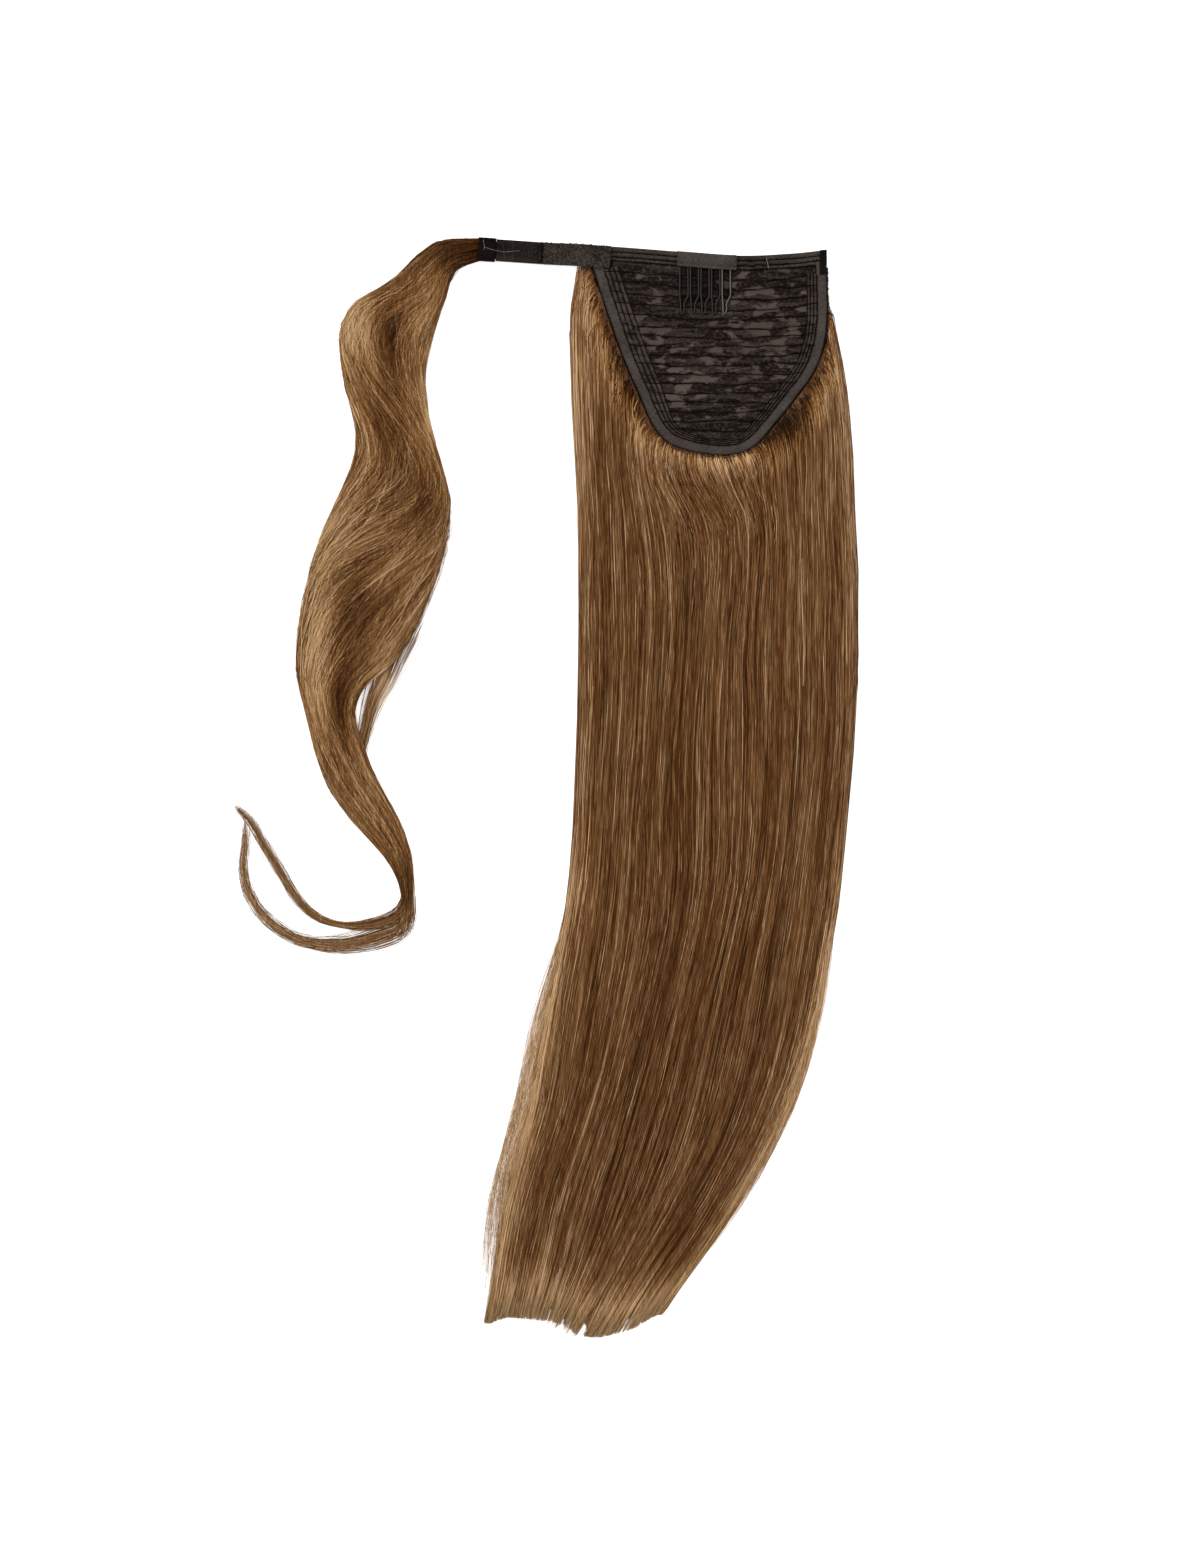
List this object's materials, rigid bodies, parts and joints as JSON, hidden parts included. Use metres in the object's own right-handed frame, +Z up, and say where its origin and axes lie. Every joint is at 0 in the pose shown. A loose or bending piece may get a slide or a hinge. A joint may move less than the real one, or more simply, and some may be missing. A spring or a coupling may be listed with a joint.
{
  "type": "ponytail hairpiece",
  "caption": "Wrap-round ponytail hairpiece lying flat: a D-shaped net cap with wefts, bound rim, wire comb and hook-and-loop strap on a long straight fall of hair, with a wavy wrap lock.",
  "frame": {"origin": "centre of the underside of the whole hairpiece's box, on the surface that it lies on", "axes": "+Y along the fall of hair towards the cap's straight edge, +X to the right with the comb side up, +Z up from the surface"},
  "size_m": [0.325, 0.5726, 0.0157],
  "materials": {
    "net": "dark brown net",
    "weft": "dark brown weft with zigzag stitches",
    "satin_tape": "smooth grey-brown satin tape",
    "webbing": "dark brown ribbed webbing",
    "loop_tape": "fuzzy loop tape",
    "hook_tape": "ribbed hook tape",
    "thread": "near-black binding",
    "wire": "dark coated wire",
    "lock_hair": "light brown hair with a soft gloss",
    "hair": "warm brown straight hair with a soft gloss"
  },
  "bodies": {
    "root": {"cap_base": "net", "edge_binding": "satin_tape", "top_band": "webbing", "comb_tape": "satin_tape", "comb": "wire", "wrap_strap": "webbing", "loop_tape": "loop_tape", "hook_tape": "hook_tape", "strap_end_wrap": "thread", "wrap_lock": "lock_hair", "hair_fall": "hair", "weft_01": "weft", "weft_02": "weft", "weft_03": "weft", "weft_04": "weft", "weft_05": "weft", "weft_06": "weft", "weft_07": "weft", "weft_08": "weft", "weft_09": "weft", "weft_10": "weft", "weft_11": "weft", "weft_12": "weft", "weft_13": "weft", "weft_14": "weft", "weft_15": "weft", "weft_16": "weft", "weft_17": "weft", "weft_18": "weft"}
  },
  "joints": []
}
